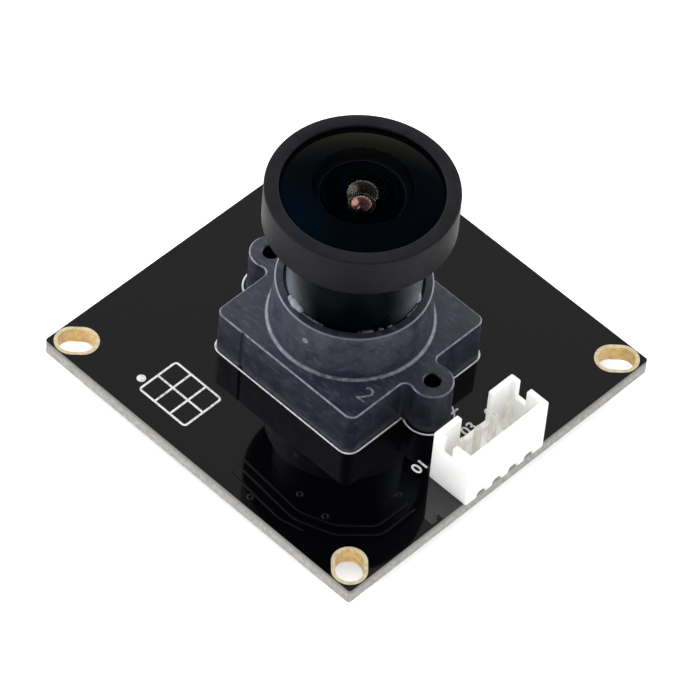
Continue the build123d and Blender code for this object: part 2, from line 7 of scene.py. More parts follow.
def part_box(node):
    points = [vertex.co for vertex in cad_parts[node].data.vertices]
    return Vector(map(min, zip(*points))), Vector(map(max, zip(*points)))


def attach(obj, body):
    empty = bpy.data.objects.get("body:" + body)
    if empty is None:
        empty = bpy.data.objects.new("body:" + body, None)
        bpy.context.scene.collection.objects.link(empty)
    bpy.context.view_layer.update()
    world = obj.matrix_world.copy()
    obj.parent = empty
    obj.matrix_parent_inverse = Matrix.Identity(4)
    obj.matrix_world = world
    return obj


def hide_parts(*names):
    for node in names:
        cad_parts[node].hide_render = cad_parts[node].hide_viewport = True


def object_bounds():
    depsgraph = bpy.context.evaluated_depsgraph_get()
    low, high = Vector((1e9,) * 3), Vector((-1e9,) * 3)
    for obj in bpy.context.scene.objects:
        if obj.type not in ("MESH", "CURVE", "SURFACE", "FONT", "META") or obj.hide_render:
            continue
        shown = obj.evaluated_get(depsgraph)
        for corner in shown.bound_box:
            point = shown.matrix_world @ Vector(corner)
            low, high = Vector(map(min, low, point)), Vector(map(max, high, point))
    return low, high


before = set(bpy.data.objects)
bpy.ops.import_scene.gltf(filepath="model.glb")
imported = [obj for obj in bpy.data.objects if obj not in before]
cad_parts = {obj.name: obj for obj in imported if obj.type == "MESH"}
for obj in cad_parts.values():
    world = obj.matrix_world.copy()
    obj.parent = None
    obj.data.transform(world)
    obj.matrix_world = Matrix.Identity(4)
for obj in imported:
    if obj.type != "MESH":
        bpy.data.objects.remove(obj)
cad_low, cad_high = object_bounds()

# Camera
# The view of the photograph, found from the corners of the board: a long lens from the front left,
# half way up, turned a little about its own axis.
mm = 0.001
board_low, board_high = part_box("circuit_board")
view_azimuth = math.radians(-49.6452)
view_elevation = math.radians(50.3528)
view_roll = math.radians(5.4784)
view_distance = 454.935 * mm
view_offset_right = 0.2151 * mm
view_offset_up = -0.0123 * mm
picture_side_px = 700
focal_length_px = 5120.226


def towards(azimuth, elevation):
    """A direction out from the module; azimuth 0 is in front of the header, and 90 to its right."""
    return Vector((
        math.sin(azimuth) * math.cos(elevation),
        -math.cos(azimuth) * math.cos(elevation),
        math.sin(elevation),
    ))


back = towards(view_azimuth, view_elevation)
level_right = Vector((0, 0, 1)).cross(back).normalized()
level_up = back.cross(level_right)
right = math.cos(view_roll) * level_right + math.sin(view_roll) * level_up
up = back.cross(right)
camera_data = bpy.data.cameras.new("photo_camera")
camera_data.sensor_width = 36
camera_data.lens = camera_data.sensor_width * focal_length_px / picture_side_px
camera_data.clip_start = 0.01
camera_data.clip_end = 10
camera = bpy.data.objects.new("photo_camera", camera_data)
bpy.context.collection.objects.link(camera)
camera.matrix_world = Matrix((
    (right.x, up.x, back.x, 0),
    (right.y, up.y, back.y, 0),
    (right.z, up.z, back.z, 0),
    (0, 0, 0, 1),
))
camera.location = (
    Vector((0, 0, board_high.z)) + back * view_distance + right * view_offset_right + up * view_offset_up
)
bpy.context.scene.camera = camera
bpy.context.scene.view_settings.view_transform = "Standard"

# Light
# A white studio tent with a soft lamp behind to the left. Matt faces are lit evenly, and glossy ones
# mirror the tent: bright near the table, dim overhead, and dark at the opening for the camera.
tent_light = 1.2
table_glow = 2.2
table_heights = (0.05, 0.55)
tent_glow = 0.35
overhead_glow = 0.15
overhead_heights = (0.75, 0.98)
opening_edges = (0.3, 0.97)
lamp_glow = 1.1
lamp_edges = (0.8, 1.0)
lamp_azimuth = math.radians(-157)
lamp_elevation = math.radians(42)
lamp_size = 0.45
lamp_energy = 1.1
lamp_distance = 0.5


def add_node(tree, kind, *inputs, **settings):
    """A new shader node; each input is a value or another node's output."""
    made = tree.nodes.new("ShaderNode" + kind)
    for key, value in settings.items():
        setattr(made, key, value)
    for socket, value in zip(made.inputs, inputs):
        if isinstance(value, bpy.types.NodeSocket):
            tree.links.new(value, socket)
        elif value is not None:
            socket.default_value = value
    return made


def tent_node(kind, *inputs, output=0, **settings):
    """The output of a new node in the tent's glow."""
    return add_node(tent, kind, *inputs, **settings).outputs[output]


world = bpy.data.worlds.new("white_tent")
bpy.context.scene.world = world
world.use_nodes = True
tent = world.node_tree
lamp_direction = towards(lamp_azimuth, lamp_elevation)
direction = tent_node("TexCoord", output="Generated")
height = tent_node("SeparateXYZ", direction, output="Z")
low_part = tent_node("MapRange", height, *table_heights, table_glow, 0.0)
high_part = tent_node("MapRange", height, *overhead_heights, tent_glow, overhead_glow)
glow = tent_node("Math", low_part, high_part, operation="ADD")
level = tent_node("VectorMath", direction, (1, 1, 0), operation="MULTIPLY")
level = tent_node("VectorMath", level, operation="NORMALIZE")
opening = tent_node("VectorMath", level, towards(view_azimuth, 0), output="Value", operation="DOT_PRODUCT")
opening = tent_node("MapRange", opening, *opening_edges, 1.0, 0.0)
glow = tent_node("Math", glow, opening, operation="MULTIPLY")
by_lamp = tent_node("VectorMath", direction, lamp_direction, output="Value", operation="DOT_PRODUCT")
by_lamp = tent_node("MapRange", by_lamp, *lamp_edges, 0.0, lamp_glow)
glow = tent_node("Math", glow, by_lamp, operation="ADD")
rays = add_node(tent, "LightPath").outputs
lit = add_node(tent, "Mix", rays["Is Diffuse Ray"])
tent.links.new(glow, lit.inputs[2])
lit.inputs[3].default_value = tent_light
shown = tent_node("Math", lit.outputs[0], rays["Is Camera Ray"], operation="MAXIMUM")
tent.links.new(shown, tent.nodes["Background"].inputs["Strength"])
tent.nodes["Background"].inputs["Color"].default_value = (1, 1, 1, 1)

lamp_data = bpy.data.lights.new("back_lamp", "AREA")
lamp_data.shape = "DISK"
lamp_data.size = lamp_size
lamp_data.energy = lamp_energy
lamp = bpy.data.objects.new("back_lamp", lamp_data)
bpy.context.collection.objects.link(lamp)
lamp.location = lamp_direction * lamp_distance
lamp.rotation_euler = lamp.location.to_track_quat("Z", "Y").to_euler()
lamp.visible_glossy = False

# Floor
# A sheet of white paper under the module. It glows just enough to show as white, less in a mirror, and
# keeps a faint shadow of the module.
floor_half = 0.6
floor_drop = 0.02 * mm
floor_glow = 0.52
mirrored_floor_glow = 0.25
bpy.ops.object.select_all(action="DESELECT")
bpy.ops.mesh.primitive_plane_add(size=2 * floor_half, location=(0, 0, cad_low.z - floor_drop))
floor = bpy.context.object
floor.name = "paper_floor"
paper = bpy.data.materials.new("white_paper")
paper.use_nodes = True
sheet = paper.node_tree
shader = sheet.nodes["Principled BSDF"]
shader.inputs["Base Color"].default_value = (0.9, 0.9, 0.9, 1)
shader.inputs["Roughness"].default_value = 0.9
shader.inputs["Specular IOR Level"].default_value = 0.1
shader.inputs["Emission Color"].default_value = (1, 1, 1, 1)
rays = add_node(sheet, "LightPath").outputs
glow = add_node(sheet, "Math", rays["Is Glossy Ray"], mirrored_floor_glow, operation="MULTIPLY").outputs[0]
glow = add_node(sheet, "Math", rays["Is Camera Ray"], floor_glow, glow, operation="MULTIPLY_ADD").outputs[0]
sheet.links.new(glow, shader.inputs["Emission Strength"])
floor.data.materials.append(paper)

# Circuit board
# Glass-fibre laminate cut with a router, so its edge is pale, rough and dusty. Both faces have a
# gloss black mask, cured so flat that it mirrors the lens like ink.


class Finish:
    """A procedural material: one surface shader with patterns laid over it on Object coordinates."""

    def __init__(self, name, colour, roughness, metallic=0.0, specular=0.5):
        self.material = bpy.data.materials.new(name)
        self.material.use_nodes = True
        self.tree = self.material.node_tree
        self.shader = self.tree.nodes["Principled BSDF"]
        self.place = self.node("TexCoord").outputs["Object"]
        self.set("Base Color", (*colour, 1))
        self.set("Roughness", roughness)
        self.set("Metallic", metallic)
        self.set("Specular IOR Level", specular)

    def set(self, socket, value):
        """One value all over the surface."""
        self.shader.inputs[socket].default_value = value

    def drive(self, socket, source):
        """A pattern in place of one value."""
        self.tree.links.new(source, self.shader.inputs[socket])

    def node(self, kind, *inputs, **settings):
        """A new node of this material."""
        return add_node(self.tree, kind, *inputs, **settings)

    def math(self, operation, *inputs):
        """The result of one sum."""
        return self.node("Math", *inputs, operation=operation).outputs[0]

    def both(self, first, second):
        """The product of two patterns: strong only where both are."""
        return self.math("MULTIPLY", first, second)

    def either(self, first, second):
        """The larger of two patterns."""
        return self.math("MAXIMUM", first, second)

    def noise(self, size, detail=3.0, stretch=(1, 1, 1)):
        """Cloudy noise from 0 to 1 whose blotches are about as large as size, in metres."""
        scaled = self.node("VectorMath", self.place, stretch, operation="MULTIPLY").outputs[0]
        made = self.node("TexNoise")
        self.tree.links.new(scaled, made.inputs["Vector"])
        made.inputs["Scale"].default_value = 1 / size
        made.inputs["Detail"].default_value = detail
        return made.outputs["Fac"]

    def cloud(self, size, low, high, detail=3.0, stretch=(1, 1, 1)):
        """Soft blotches carried to the range from low to high."""
        return self.range(self.noise(size, detail, stretch), 0.35, 0.65, low, high)

    def range(self, value, low, high, to_low=0.0, to_high=1.0):
        """A value carried from one range to another and held inside it."""
        return self.node("MapRange", value, low, high, to_low, to_high).outputs[0]

    def near(self, value, middle, inner, outer):
        """1 where a value is near the middle, fading to 0 between the inner and outer distances."""
        gap = self.math("ABSOLUTE", self.math("SUBTRACT", value, middle))
        return self.range(gap, inner, outer, 1, 0)

    def blend(self, share, first, second):
        """The colour between two others."""
        made = self.node("Mix", data_type="RGBA")
        for socket, value in ((0, share), (6, first), (7, second)):
            if isinstance(value, bpy.types.NodeSocket):
                self.tree.links.new(value, made.inputs[socket])
            elif isinstance(value, tuple):
                made.inputs[socket].default_value = (*value, 1)
            else:
                made.inputs[socket].default_value = value
        return made.outputs[2]

    def axes(self):
        """The three coordinates of a place on the part."""
        return self.node("SeparateXYZ", self.place).outputs

    def slope(self):
        """1 on level faces and 0 on upright ones."""
        normal = self.node("NewGeometry").outputs["Normal"]
        return self.math("ABSOLUTE", self.node("SeparateXYZ", normal).outputs["Z"])

    def gap(self, x, y, z=None):
        """The distance from a point, or from an upright line where no height is given."""
        flat = (1, 1, 0) if z is None else (1, 1, 1)
        place = self.node("VectorMath", self.place, flat, operation="MULTIPLY").outputs[0]
        return self.node("VectorMath", place, (x, y, z or 0), operation="DISTANCE").outputs["Value"]

    def colour(self, source):
        self.drive("Base Color", source)

    def mottle(self, size, first, second, detail=3.0):
        """Colour that drifts between two others in soft blotches."""
        self.colour(self.blend(self.cloud(size, 0, 1, detail), first, second))

    def roughness(self, source):
        self.drive("Roughness", source)

    def glass(self, ior, mirrored, transmission=1.0):
        """Glass, under a coat that gives its own colour to what it mirrors."""
        self.set("Transmission Weight", transmission)
        self.set("IOR", ior)
        self.set("Specular Tint", (*mirrored, 1))

    def bump(self, height, depth):
        """Small relief: a height from 0 to 1, standing for depth in metres."""
        made = self.node("Bump")
        made.inputs["Distance"].default_value = depth
        self.tree.links.new(height, made.inputs["Height"])
        self.drive("Normal", made.outputs[0])


def dress(node, finish):
    """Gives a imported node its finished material."""
    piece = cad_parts[node]
    piece.data.materials.clear()
    piece.data.materials.append(finish.material)


def laminate_and_mask():
    """Black mask on both faces; the routed edge shows the pale laminate, darker near the top."""
    mask_black = (0.0009, 0.001, 0.0016)
    finish = Finish("laminate_and_mask", mask_black, 0.035, specular=0.68)
    edge = finish.math("LESS_THAN", finish.slope(), 0.5)
    fibres = finish.blend(finish.cloud(0.3 * mm, 0, 1, 5), (0.27, 0.262, 0.25), (0.43, 0.42, 0.405))
    crumbs = finish.range(finish.noise(0.13 * mm, 1), 0.66, 0.7)
    fibres = finish.blend(crumbs, fibres, (0.12, 0.115, 0.105))
    near_top = finish.near(finish.axes()["Z"], board_high.z, 0.1 * mm, 0.7 * mm)
    fibres = finish.blend(near_top, fibres, (0.17, 0.165, 0.157))
    dust = finish.range(finish.noise(0.12 * mm, 1), 0.76, 0.8, 0, 0.2)
    finish.colour(finish.blend(edge, finish.blend(dust, mask_black, (0.1, 0.1, 0.1)), fibres))
    wave = finish.cloud(6 * mm, 0.02, 0.05, 2)
    finish.roughness(finish.either(finish.both(edge, 0.75), wave))
    return finish


dress("circuit_board", laminate_and_mask())

# Copper tracks under the mask
# Three tracks of etched copper and four plated holes near the front corner. The mask flows over
# them, so they show only as low ridges in its gloss.


def drawn_line(name, points, width, height, level, closed=False, corner_r=0.0):
    """A low ridge of even width along a line of points, like ink or a covered track."""
    bpy.ops.object.select_all(action="DESELECT")
    bpy.ops.mesh.primitive_plane_add(size=mm, location=(*points[0], level))
    piece = bpy.context.object
    piece.name = name
    bpy.ops.object.mode_set(mode="EDIT")
    bpy.ops.mesh.select_all(action="SELECT")
    bpy.ops.mesh.merge(type="CENTER")
    following = points[1:] + points[:1] if closed else points[1:]
    previous = points[0]
    for x, y in following:
        bpy.ops.mesh.extrude_region_move(
            TRANSFORM_OT_translate={"value": (x - previous[0], y - previous[1], 0)}
        )
        previous = (x, y)
    bpy.ops.mesh.select_all(action="SELECT")
    bpy.ops.mesh.remove_doubles(threshold=0.001 * mm)
    if corner_r:
        bpy.ops.mesh.bevel(offset=corner_r, segments=6, affect="VERTICES")
    bpy.ops.object.mode_set(mode="OBJECT")
    raise_line(piece, width, height)
    return piece


def raise_line(piece, width, height):
    """Turns a piece's loose edges into a ridge of that width and height."""
    bpy.ops.object.convert(target="CURVE")
    piece.data.bevel_depth = width / 2
    piece.data.bevel_resolution = 2
    piece.data.use_fill_caps = True
    bpy.ops.object.convert(target="MESH")
    bpy.ops.object.mode_set(mode="EDIT")
    bpy.ops.mesh.select_all(action="SELECT")
    bpy.ops.transform.resize(value=(1, 1, 2 * height / width))
    bpy.ops.mesh.normals_make_consistent(inside=False)
    bpy.ops.object.mode_set(mode="OBJECT")
    bpy.ops.object.shade_smooth_by_angle(angle=math.radians(50))
    bpy.ops.object.transform_apply(location=True, rotation=True, scale=True)


def drawn_ring(name, x, y, radius, width, height, level, steps):
    """A low round ridge, like an inked circle or the rim of a covered hole."""
    bpy.ops.object.select_all(action="DESELECT")
    bpy.ops.mesh.primitive_circle_add(vertices=steps, radius=radius, location=(x, y, level))
    piece = bpy.context.object
    piece.name = name
    raise_line(piece, width, height)
    return piece


def join(name, pieces):
    """Joins pieces into one."""
    bpy.ops.object.select_all(action="DESELECT")
    for piece in pieces:
        piece.select_set(True)
    bpy.context.view_layer.objects.active = pieces[0]
    bpy.ops.object.join()
    pieces[0].name = name
    return pieces[0]


def fit(piece, finish):
    """Gives a new piece its finish and its place on the part."""
    piece.data.materials.clear()
    piece.data.materials.append(finish.material)
    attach(piece, "root")
    return piece


def covered_copper():
    """Mask over copper: the board's black, pulled a little thin."""
    finish = Finish("covered_copper", (0.001, 0.001, 0.002), 0.2, specular=0.6)
    finish.roughness(finish.cloud(0.5 * mm, 0.16, 0.26))
    return finish


track_width = 0.22 * mm
track_height = 0.01 * mm
track_bend_r = 0.6 * mm
hole_r = 0.25 * mm
hole_rim_width = 0.16 * mm
hole_rim_height = 0.02 * mm
track_lines = [
    [(-16.3, -2.5), (-16.9, -10.2), (-15.5, -13.8), (-12.6, -16.5), (-8.4, -16.5)],
    [(-15.5, -2.5), (-16.0, -9.9), (-14.8, -13.0), (-12.2, -15.6), (-8.4, -15.6)],
    [(-17.3, -2.8), (-17.8, -9.3), (-17.2, -11.6)],
]
hole_places = [(-14.7, -11.8), (-8.3, -14.4), (-14.6, -8.6), (-18.0, -5.9)]
copper = []
for line in track_lines:
    points = [(x * mm, y * mm) for x, y in line]
    copper.append(drawn_line("track", points, track_width, track_height, board_high.z, False, track_bend_r))
for x, y in hole_places:
    copper.append(drawn_ring(
        "covered_hole", x * mm, y * mm, hole_r, hole_rim_width, hole_rim_height, board_high.z, 24
    ))
fit(join("covered_tracks", copper), covered_copper())

# White print on the front
# Epoxy ink screened on the mask: the outline of the lens holder, a plain number for each wire of
# the header, and a ruled box where a date can be written.
ink_thickness = 0.018 * mm
ink_width = 0.17 * mm
bold_ink_width = 0.21 * mm


def white_ink():
    """Flat white ink, thinner in places."""
    finish = Finish("white_ink", (0.62, 0.62, 0.64), 0.55, specular=0.3)
    thin = finish.range(finish.noise(0.4 * mm, 4), 0.3, 0.5)
    finish.colour(finish.blend(thin, (0.36, 0.36, 0.38), (0.66, 0.66, 0.68)))
    finish.bump(finish.noise(0.06 * mm, 2), 0.004 * mm)
    return finish


def inked_line(points, width=ink_width, closed=False, corner_r=0.0, level=board_high.z):
    """A printed line."""
    return drawn_line("inked_line", points, width, ink_thickness, level, closed, corner_r)


holder_low, holder_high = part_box("lens_holder")
outline_gap = 0.16 * mm
outline_corner_r = 1.2 * mm
ear_arc_r = 2.3 * mm
outline_half = holder_high.x + outline_gap
ear_y = holder_high.y - 2 * mm
ear_print_overlap = 0.25 * mm
corners = [(-outline_half, -outline_half), (outline_half, -outline_half)]
corners += [(outline_half, outline_half), (-outline_half, outline_half)]
printed = [inked_line(corners, ink_width, True, outline_corner_r)]
for side in (-1, 1):
    bpy.ops.object.select_all(action="DESELECT")
    bpy.ops.mesh.primitive_circle_add(
        vertices=64, radius=ear_arc_r, location=(0, side * ear_y, board_high.z)
    )
    arc = bpy.context.object
    bpy.ops.object.mode_set(mode="EDIT")
    bpy.ops.mesh.select_all(action="DESELECT")
    bpy.ops.object.mode_set(mode="OBJECT")
    for vertex in arc.data.vertices:
        vertex.select = side * (vertex.co.y + side * ear_y) < outline_half + ear_print_overlap
    bpy.ops.object.mode_set(mode="EDIT")
    bpy.ops.mesh.delete(type="VERT")
    bpy.ops.object.mode_set(mode="OBJECT")
    raise_line(arc, ink_width, ink_thickness)
    printed.append(arc)

box_left, box_right = -16.7 * mm, -12.2 * mm
box_low, box_high = 3.6 * mm, 9.3 * mm
box_corner_r = 0.3 * mm
row = (box_high - box_low) / 3
box_middle = (box_left + box_right) / 2
box_corners = [(box_left, box_low), (box_right, box_low), (box_right, box_high), (box_left, box_high)]
printed.append(inked_line(box_corners, bold_ink_width, True, box_corner_r))
for number in (1, 2):
    rule = box_low + number * row
    printed.append(inked_line([(box_left, rule), (box_right, rule)], bold_ink_width))
printed.append(inked_line([(box_middle, box_low), (box_middle, box_high)], bold_ink_width))
tick_start, tick_end = (1.5 * mm, -11.3 * mm), (2.4 * mm, -11.3 * mm)
printed.append(inked_line([tick_start, tick_end], bold_ink_width))


def inked_dot(x, y, radius):
    """A round dot of ink on the front."""
    bpy.ops.object.select_all(action="DESELECT")
    bpy.ops.mesh.primitive_cylinder_add(
        vertices=32, radius=radius, depth=2 * ink_thickness, location=(x, y, board_high.z)
    )
    bpy.ops.object.transform_apply(location=True, rotation=True, scale=True)
    return bpy.context.object


dot_r = 0.42 * mm
dot_gap = 0.75 * mm
printed.append(inked_dot(box_left + row / 2, box_high + dot_gap, dot_r))
number_weight = 0.03 * mm


def inked_number(body, x, y, size, level=board_high.z, rotation=(0, 0, 0)):
    """A number in ink."""
    bpy.ops.object.select_all(action="DESELECT")
    bpy.ops.object.text_add(location=(x, y, level), rotation=rotation)
    number = bpy.context.object
    number.data.body = body
    number.data.size = size
    number.data.extrude = ink_thickness
    number.data.offset = number_weight
    number.data.align_x = "CENTER"
    bpy.ops.object.convert(target="MESH")
    bpy.ops.object.transform_apply(location=True, rotation=True, scale=True)
    return number


number_size = 1.5 * mm
number_y = -14.05 * mm
number_columns = (-4.75, -1.6, 1.45, 4.5)
for number, x in enumerate(number_columns, 1):
    printed.append(inked_number(f"0{number}", x * mm, number_y, number_size))
ink = white_ink()
fit(join("front_print", printed), ink)

# White print on the back
# The same ink behind: an outline round the crystal and the choke, and a plain number beside each
# large part.
back_outline_gap = 0.45 * mm
back_corner_r = 0.2 * mm
back_number_size = 1.3 * mm
back_printed = []
for node in ("clock_crystal", "common_mode_choke"):
    part_low, part_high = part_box(node)
    left, right = part_low.x - back_outline_gap, part_high.x + back_outline_gap
    front, rear = part_low.y - back_outline_gap, part_high.y + back_outline_gap
    outline = [(left, front), (right, front), (right, rear), (left, rear)]
    back_printed.append(inked_line(outline, ink_width, True, back_corner_r, board_low.z))
number_places = [(-1.3, -4.8), (7.5, -4.2), (-15.7, -3.8), (-4.3, -12.3)]
for number, (x, y) in enumerate(number_places, 1):
    back_printed.append(
        inked_number(str(number), x * mm, y * mm, back_number_size, board_low.z, (math.pi, 0, 0))
    )
fit(join("back_print", back_printed), ink)

# Plated slots
# Copper linings under thin gold. The flat rings are polished pale by handling, and the walls, which
# nothing rubs, keep a deeper yellow.


def gold():
    """Gold plating, pale on the flats and deeper on the walls."""
    finish = Finish("gold_plating", (0.9, 0.72, 0.4), 0.3, metallic=0.5)
    wall = finish.math("LESS_THAN", finish.slope(), 0.5)
    share = finish.cloud(0.5 * mm, 0, 1)
    flat = finish.blend(share, (0.7, 0.58, 0.35), (0.88, 0.78, 0.54))
    deep = finish.blend(share, (0.68, 0.46, 0.17), (0.84, 0.63, 0.31))
    finish.colour(finish.blend(wall, flat, deep))
    finish.roughness(finish.cloud(0.2 * mm, 0.34, 0.5))
    return finish


gold_plating = gold()
dress("plated_slots", gold_plating)

# Lens holder
# One moulding in dark blue-grey glass-filled nylon. Its faces are matt and lightly scuffed, and its sharp
# edges and the boss's foot carry pale lines, partly rubbed wear and partly a painted highlight.
foot_height = 4.8 * mm
boss_foot_r = 7.35 * mm
boss_top_r = 7.0 * mm
ear_hole_r = 0.75 * mm
pit_place = (-6.85 * mm, -1.05 * mm, 11.1 * mm)
pit_r = 0.26 * mm


def holder_plastic():
    """Matt moulding with pale lines at the top outline, the boss's foot and rim, and round a small pit:
    partly wear, partly a painted highlight.
    """
    foot_top = holder_low.z + foot_height
    finish = Finish("holder_plastic", (0.022, 0.0225, 0.03), 0.42, specular=0.8)
    finish.set("IOR", 1.7)
    finish.set("Specular Tint", (0.86, 0.88, 1.0, 1))
    z = finish.axes()["Z"]
    radius = finish.gap(0, 0)
    holes = [finish.gap(0, side * ear_y) for side in (-1, 1)]
    hole_gap = finish.math("MINIMUM", *holes)
    outline = finish.near(z, foot_top - 0.07 * mm, 0.05 * mm, 0.07 * mm)
    outline = finish.both(outline, finish.math("GREATER_THAN", hole_gap, ear_hole_r + 0.3 * mm))
    foot_line = finish.both(
        finish.near(radius, boss_foot_r + 0.12 * mm, 0.03 * mm, 0.16 * mm),
        finish.near(z, foot_top + 0.1 * mm, 0.12 * mm, 0.2 * mm),
    )
    rim_line = finish.both(
        finish.near(z, holder_high.z - 0.07 * mm, 0.04 * mm, 0.08 * mm),
        finish.range(radius, boss_top_r - 0.16 * mm, boss_top_r - 0.1 * mm),
    )
    broken = finish.range(finish.noise(0.5 * mm, 4), 0.3, 0.6, 0.15, 1)
    # The pale lines are partly wear and partly a painted highlight on the small rounds of the edges.
    wear_and_highlight = finish.both(finish.either(outline, foot_line), broken)
    wear_and_highlight = finish.either(wear_and_highlight, finish.both(rim_line, 0.6))
    wear_and_highlight = finish.either(wear_and_highlight, finish.near(finish.gap(*pit_place), pit_r, 0.06 * mm, 0.12 * mm))
    share = finish.cloud(2.5 * mm, 0, 1, 4)
    body = finish.blend(share, (0.009, 0.0098, 0.021), (0.0165, 0.0175, 0.033))
    scuff = finish.range(finish.noise(0.3 * mm, 4, (1, 0.3, 1)), 0.52, 0.75, 0, 0.6)
    body = finish.blend(scuff, body, (0.07, 0.073, 0.105))
    body = finish.blend(wear_and_highlight, body, (0.17, 0.177, 0.215))
    # Inside the ears' holes the nylon is painted black: painted shade in the deep holes.
    hole = finish.math("LESS_THAN", hole_gap, ear_hole_r + 0.05 * mm)
    finish.colour(finish.blend(hole, body, (0, 0, 0)))
    finish.roughness(finish.cloud(1.2 * mm, 0.32, 0.5, 5))
    finish.bump(finish.noise(0.07 * mm, 2), 0.004 * mm)
    return finish


holder_finish = holder_plastic()
dress("lens_holder", holder_finish)

# Mould number
# The number of the cavity that the holder was moulded in, of the same nylon, raised a hair above its
# front corner.
mould_number_place = (-5.55 * mm, -7.25 * mm, holder_low.z + foot_height)
mould_number_size = 2.5 * mm
mould_number_height = 0.04 * mm
bpy.ops.object.select_all(action="DESELECT")
bpy.ops.object.text_add(location=mould_number_place, rotation=(0, 0, math.radians(-90)))
mould_number = bpy.context.object
mould_number.data.body = "2"
mould_number.data.size = mould_number_size
mould_number.data.extrude = mould_number_height
mould_number.data.offset = -0.01 * mm
mould_number.data.align_x = "CENTER"
mould_number.data.align_y = "CENTER"
bpy.ops.object.convert(target="MESH")
bpy.ops.object.transform_apply(location=True, rotation=True, scale=True)
mould_number.name = "mould_number"


def rubbed_plastic():
    """The holder's plastic, rubbed paler where it stands proud."""
    finish = Finish("rubbed_plastic", (0.12, 0.12, 0.15), 0.45)
    finish.mottle(0.3 * mm, (0.06, 0.06, 0.075), (0.2, 0.2, 0.23))
    return finish


fit(mould_number, rubbed_plastic())

# Holder screws
# Two pan-head screws of blackened steel, turned in from behind. Only their dark tips show, deep in
# the holes of the ears.


def screw_steel():
    """Blackened steel, oily and a little uneven."""
    finish = Finish("screw_steel", (0.02, 0.02, 0.022), 0.4, metallic=0.6)
    finish.mottle(0.3 * mm, (0.012, 0.012, 0.014), (0.05, 0.05, 0.055))
    finish.roughness(finish.cloud(0.2 * mm, 0.3, 0.5))
    return finish


dress("holder_screws", screw_steel())

# Front ring
# Turned aluminium, bead-blasted and anodised charcoal, screwed over the barrel's head. Its lip holds
# the front glass down.
ring_low, ring_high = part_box("front_ring")
ring_r = ring_high.x
barrel_low, barrel_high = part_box("lens_barrel")
ring_bore_r = barrel_high.x + 0.02 * mm
lip_r = 7.2 * mm
front_edge_height = 1.8 * mm
front_low, front_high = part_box("front_element")
lip_low = front_low.z + front_edge_height
ring_edge_r = 0.16 * mm
turned_steps = 144


def turned_piece(name, outline, closed=True):
    """Spins an outline of radius and height points about the optical axis."""
    bpy.ops.object.select_all(action="DESELECT")
    bpy.ops.mesh.primitive_plane_add(size=mm, location=(outline[0][0], 0, outline[0][1]))
    piece = bpy.context.object
    piece.name = name
    bpy.ops.object.mode_set(mode="EDIT")
    bpy.ops.mesh.select_all(action="SELECT")
    bpy.ops.mesh.merge(type="CENTER")
    previous = outline[0]
    for radius, height in outline[1:] + (outline[:1] if closed else []):
        bpy.ops.mesh.extrude_region_move(
            TRANSFORM_OT_translate={"value": (radius - previous[0], 0, height - previous[1])}
        )
        previous = (radius, height)
    bpy.ops.mesh.select_all(action="SELECT")
    bpy.ops.mesh.remove_doubles(threshold=0.001 * mm)
    bpy.ops.mesh.spin(steps=turned_steps, angle=2 * math.pi, center=(0, 0, 0), axis=(0, 0, 1))
    bpy.ops.mesh.select_all(action="SELECT")
    bpy.ops.mesh.remove_doubles(threshold=0.001 * mm)
    bpy.ops.mesh.normals_make_consistent(inside=False)
    bpy.ops.object.mode_set(mode="OBJECT")
    bpy.ops.object.transform_apply(location=True, rotation=True, scale=True)
    return piece


def round_edges(piece, width, segments=3):
    """Rounds every edge of a piece that is sharper than 30 degrees."""
    bpy.ops.object.modifier_add(type="BEVEL")
    bevel = piece.modifiers[-1]
    bevel.width = width
    bevel.segments = segments
    bevel.limit_method = "ANGLE"
    bevel.angle_limit = math.radians(30)
    bpy.ops.object.modifier_apply(modifier=bevel.name)
    bpy.ops.object.shade_smooth_by_angle(angle=math.radians(35))


front_ring = turned_piece("front_ring_turned", [
    (ring_bore_r, ring_low.z), (ring_r, ring_low.z), (ring_r, ring_high.z),
    (lip_r, ring_high.z), (lip_r, lip_low), (ring_bore_r, lip_low),
])
round_edges(front_ring, ring_edge_r, 4)


def charcoal():
    """Blasted and anodised: dull, with a very fine grain, and painted paler on the level rim as a painted
    lighter top.
    """
    finish = Finish("charcoal_anodised", (0.0035, 0.0035, 0.005), 0.5, specular=0.15)
    side = finish.blend(finish.cloud(1.5 * mm, 0, 1), (0.0032, 0.0033, 0.0055), (0.0045, 0.0046, 0.0072))
    rim = finish.blend(finish.cloud(1.5 * mm, 0, 1), (0.007, 0.0071, 0.0095), (0.0105, 0.0107, 0.0135))
    # The level rim gets a paler colour than the sides: painted light on the top face.
    finish.colour(finish.blend(finish.slope(), side, rim))
    finish.roughness(finish.cloud(0.3 * mm, 0.44, 0.54))
    finish.bump(finish.noise(0.05 * mm, 2), 0.003 * mm)
    return finish


fit(front_ring, charcoal())
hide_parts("front_ring")

# Lens barrel
# Turned aluminium, anodised black over fine turning marks that spread its shine up and down. Below
# the head a narrow relief groove runs out the thread. The bore is blackened dull.
neck_r = 6.0 * mm
bore_r = 4.6 * mm
mouth_r = 3.9 * mm
head_r = barrel_high.x
shoulder_low = barrel_high.z - 1.2 * mm
relief_height = 0.5 * mm
relief_depth = 0.25 * mm
barrel_edge_r = 0.06 * mm
joint_height = holder_high.z - 0.02 * mm
lens_barrel = turned_piece("lens_barrel_turned", [
    (bore_r, barrel_low.z), (neck_r - 0.3 * mm, barrel_low.z), (neck_r, barrel_low.z + 0.3 * mm),
    (neck_r, ring_low.z - relief_height), (neck_r - relief_depth, ring_low.z - relief_height),
    (neck_r - relief_depth, ring_low.z), (head_r, ring_low.z), (head_r, barrel_high.z),
    (mouth_r, barrel_high.z), (mouth_r, shoulder_low), (bore_r, shoulder_low),
])
round_edges(lens_barrel, barrel_edge_r, 2)


